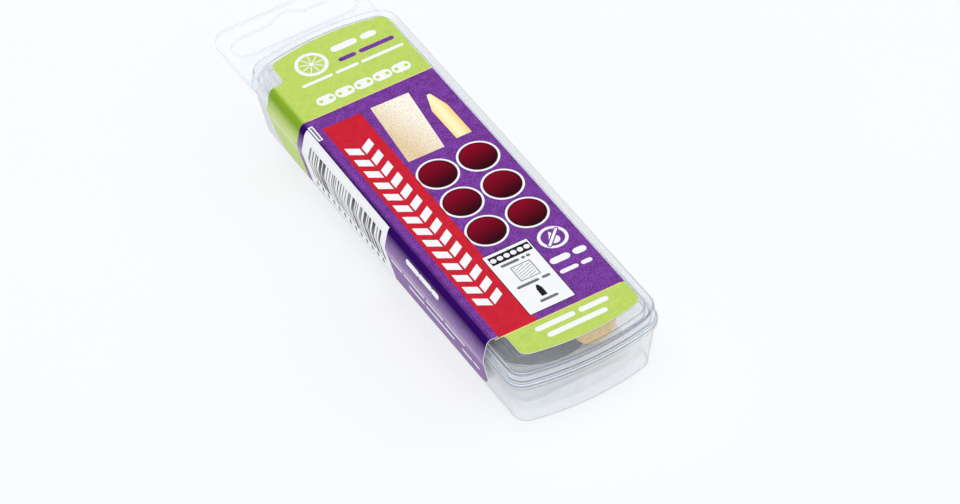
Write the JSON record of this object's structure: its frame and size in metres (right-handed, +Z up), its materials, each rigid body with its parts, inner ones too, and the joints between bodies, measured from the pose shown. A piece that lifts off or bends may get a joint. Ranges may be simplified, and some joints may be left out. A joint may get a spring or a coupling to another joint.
{
  "type": "puncture repair kit",
  "caption": "Clear hinged plastic case with a hang tab and a printed wrap label, holding round patches, an abrasive pad and a crayon.",
  "frame": {"origin": "centre of the flat face that the closed case rests on", "axes": "+Z up through the lid, +Y along the case towards the hang tab, -X towards the hinge side"},
  "size_m": [0.0305, 0.1112, 0.0151],
  "materials": {
    "clear_case": "glossy",
    "label_print": "glossy",
    "release_paper": "satin",
    "patch_rubber": "matte",
    "pad_board": "matte",
    "pad_grit": "rough",
    "crayon_wax": "satin",
    "crayon_paper": "matte"
  },
  "bodies": {
    "base": {"case_base": "clear_case", "hinge_film": "clear_case", "label_side": "label_print", "patch_sheet_lower": "release_paper", "patch_sheet_upper": "release_paper", "patch_1": "patch_rubber", "patch_2": "patch_rubber", "patch_3": "patch_rubber", "patch_4": "patch_rubber", "patch_5": "patch_rubber", "patch_6": "patch_rubber", "abrasive_backing": "pad_board", "abrasive_grit": "pad_grit", "crayon_stick": "crayon_wax", "crayon_wrapper": "crayon_paper"},
    "lid": {"case_lid": "clear_case", "label_top": "label_print"}
  },
  "joints": [
    {"name": "lid_hinge", "type": "hinge", "parent": "base", "child": "lid", "pos_m": [-0.0153, 0, 0.01065], "axis": [0, -1, 0], "range_deg": [0, 180]}
  ]
}
